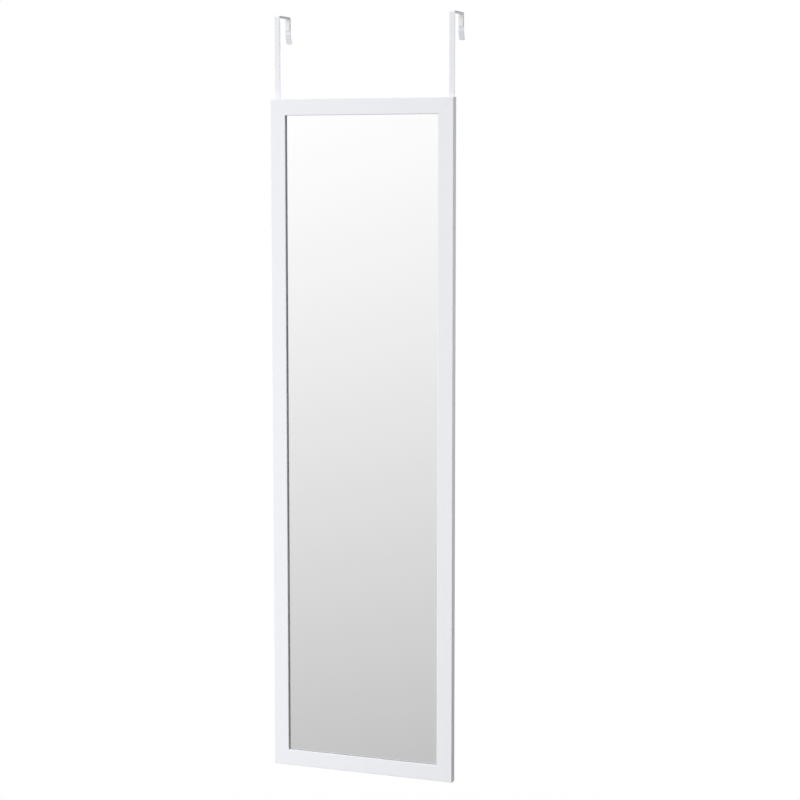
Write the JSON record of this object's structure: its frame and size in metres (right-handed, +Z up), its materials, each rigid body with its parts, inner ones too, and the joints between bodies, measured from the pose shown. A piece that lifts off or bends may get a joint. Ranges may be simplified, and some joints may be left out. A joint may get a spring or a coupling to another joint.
{
  "type": "over the door mirror",
  "caption": "Tall rectangular mirror in a flat white mitred frame, hung over the top of a door on flat white steel hooks with flared tails.",
  "frame": {"origin": "middle of the door's top front edge: midway between the hooks, on the plane of the door's front face, at the height of the hooks' seats", "axes": "+X to the right seen from the front, +Y from the mirror's front towards the back of the door, +Z up"},
  "size_m": [0.36, 0.0701, 1.4135],
  "materials": {
    "white_moulding": "fibreboard moulding wrapped in satin white foil",
    "mirror_glass": "clear float glass, ground edges",
    "silvering": "silver layer under protective paint",
    "hardboard": "brown pressed hardboard",
    "powder_coated_steel": "white powder coat",
    "zinc_plated_screw": "bright zinc plate",
    "zinc_plated_strip": "punched strip, zinc plated",
    "bright_steel": "rolled steel",
    "foam_pad": "white closed-cell foam",
    "bumper": "white felt disc"
  },
  "bodies": {
    "root": {"top_rail": "white_moulding", "bottom_rail": "white_moulding", "left_stile": "white_moulding", "right_stile": "white_moulding", "mirror_glass": "mirror_glass", "mirror_silvering": "silvering", "backing_board": "hardboard", "left_hook": "powder_coated_steel", "right_hook": "powder_coated_steel", "left_hook_screws": "zinc_plated_screw", "right_hook_screws": "zinc_plated_screw", "left_front_pad": "foam_pad", "left_top_pad": "foam_pad", "left_tail_pad": "foam_pad", "right_front_pad": "foam_pad", "right_top_pad": "foam_pad", "right_tail_pad": "foam_pad", "top_left_nails": "bright_steel", "top_right_nails": "bright_steel", "bottom_left_nails": "bright_steel", "bottom_right_nails": "bright_steel", "left_stile_points": "zinc_plated_strip", "right_stile_points": "zinc_plated_strip", "top_rail_points": "zinc_plated_strip", "bottom_rail_points": "zinc_plated_strip", "left_bumper": "bumper", "right_bumper": "bumper"}
  },
  "joints": []
}
